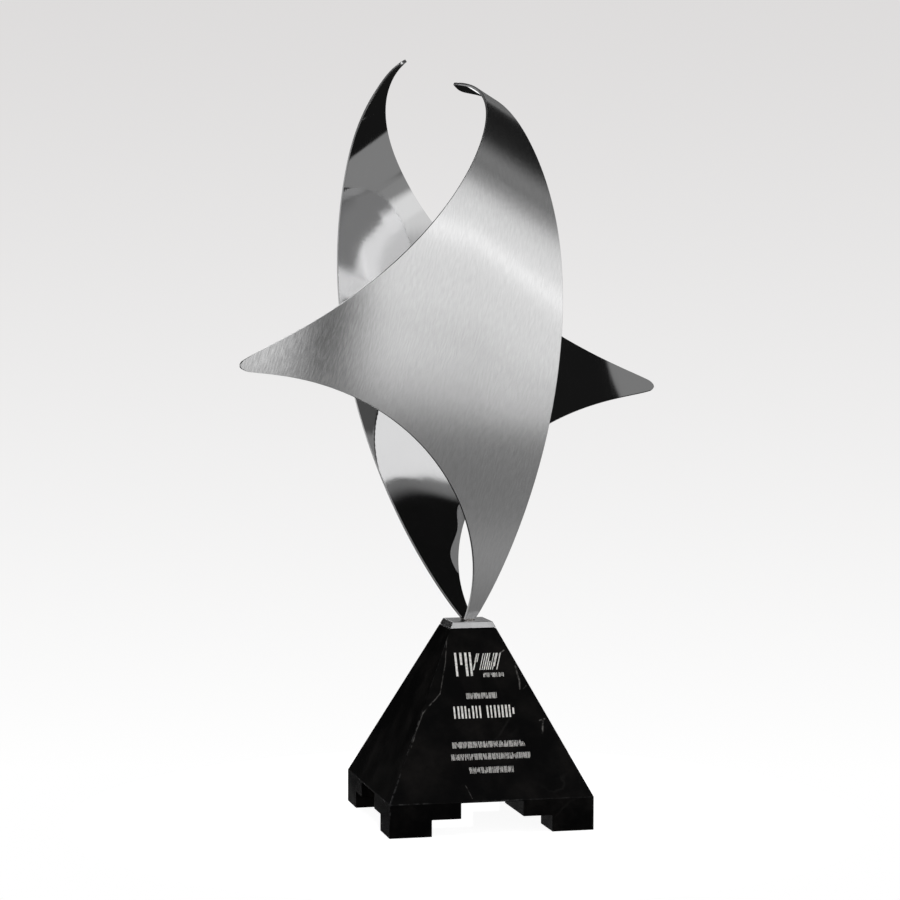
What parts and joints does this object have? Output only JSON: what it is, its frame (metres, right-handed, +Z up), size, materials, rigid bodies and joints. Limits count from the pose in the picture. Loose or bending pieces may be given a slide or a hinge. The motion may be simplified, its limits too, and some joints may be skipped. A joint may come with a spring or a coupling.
{
  "type": "abstract metal sculpture",
  "caption": "Abstract sculpture of rolled three-tipped steel sheets that rise in a V from a bevelled cap plate on a black marble pyramid with stepped feet.",
  "frame": {"origin": "on the ground under the middle of the whole outline; the plinth's middle is 16.4 mm nearer the front", "axes": "+Z up, -Y towards the plinth face with the inscription, +X to the right seen from there"},
  "size_m": [0.242, 0.1348, 0.3815],
  "materials": {
    "marble": "polished black marble with faint pale veins",
    "cap_steel": "satin stainless steel",
    "sheet_steel": "brushed outside, mirror-polished inside"
  },
  "bodies": {
    "root": {"plinth": "marble", "cap_plate": "cap_steel", "front_sheet": "sheet_steel", "back_sheet": "sheet_steel"}
  },
  "joints": []
}
